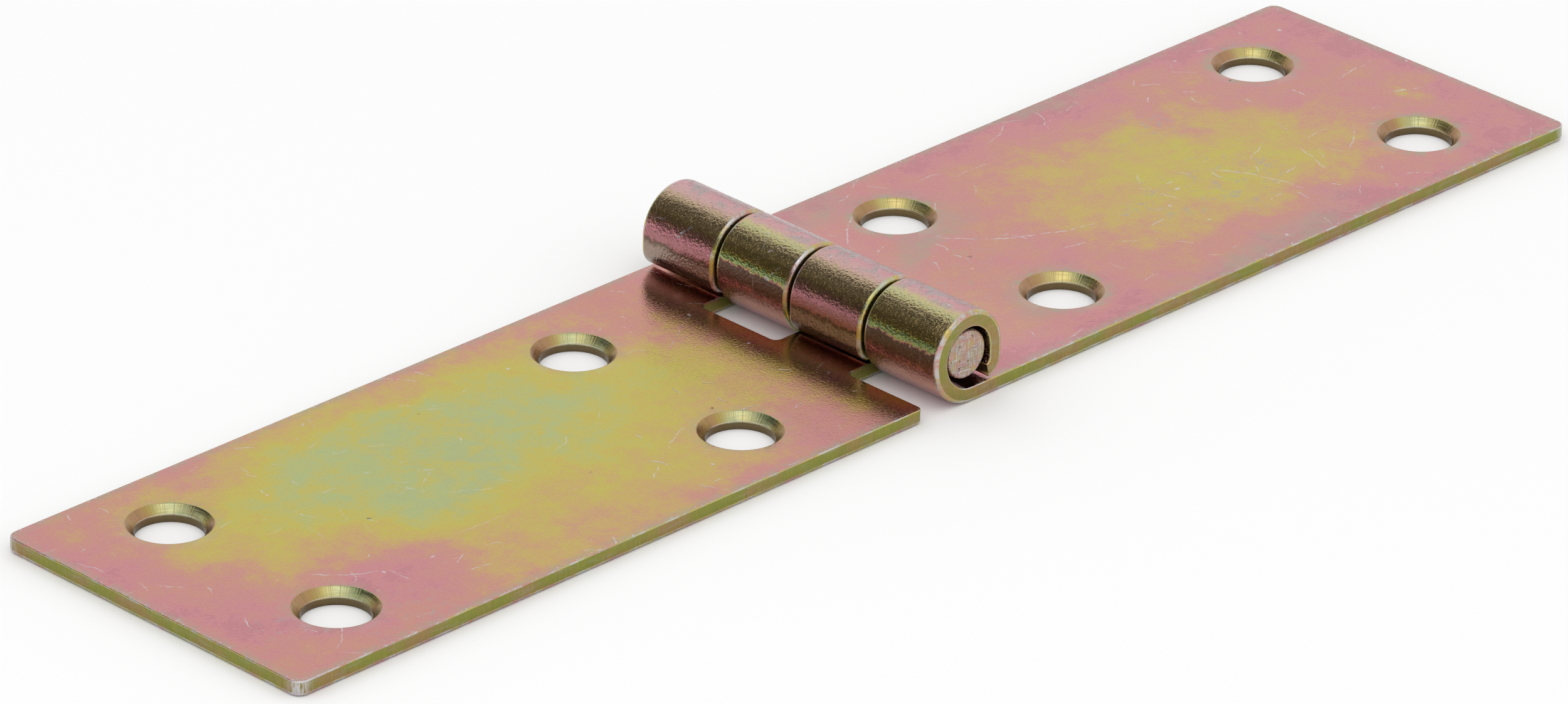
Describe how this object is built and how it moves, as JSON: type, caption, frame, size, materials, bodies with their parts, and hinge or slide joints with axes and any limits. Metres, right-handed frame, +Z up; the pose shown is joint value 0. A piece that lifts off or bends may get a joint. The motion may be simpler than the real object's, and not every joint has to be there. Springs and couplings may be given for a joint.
{
  "type": "furniture hinge",
  "caption": "Long strap hinge for furniture: flat sheet-steel leaves with countersunk screw holes, rolled interlocking knuckles and a wire pin, yellow passivated.",
  "frame": {"origin": "on the mounting face, under the middle of the pin", "axes": "+X along the leaves from the left to the right one, +Y along the pin, +Z up from the mounting face"},
  "size_m": [0.13, 0.03, 0.0072],
  "materials": {
    "leaf_plating": "yellow passivated zinc plating, satin, iridescent from rose to olive yellow",
    "pin_plating": "yellow passivated zinc plating, scratched at the sheared ends"
  },
  "bodies": {
    "left_leaf": {"left_leaf": "leaf_plating", "hinge_pin": "pin_plating"},
    "right_leaf": {"right_leaf": "leaf_plating"}
  },
  "joints": [
    {"name": "leaf_fold", "type": "hinge", "parent": "left_leaf", "child": "right_leaf", "pos_m": [0, 0, 0.00385], "axis": [0, -1, 0], "range_deg": [-95, 180]}
  ]
}
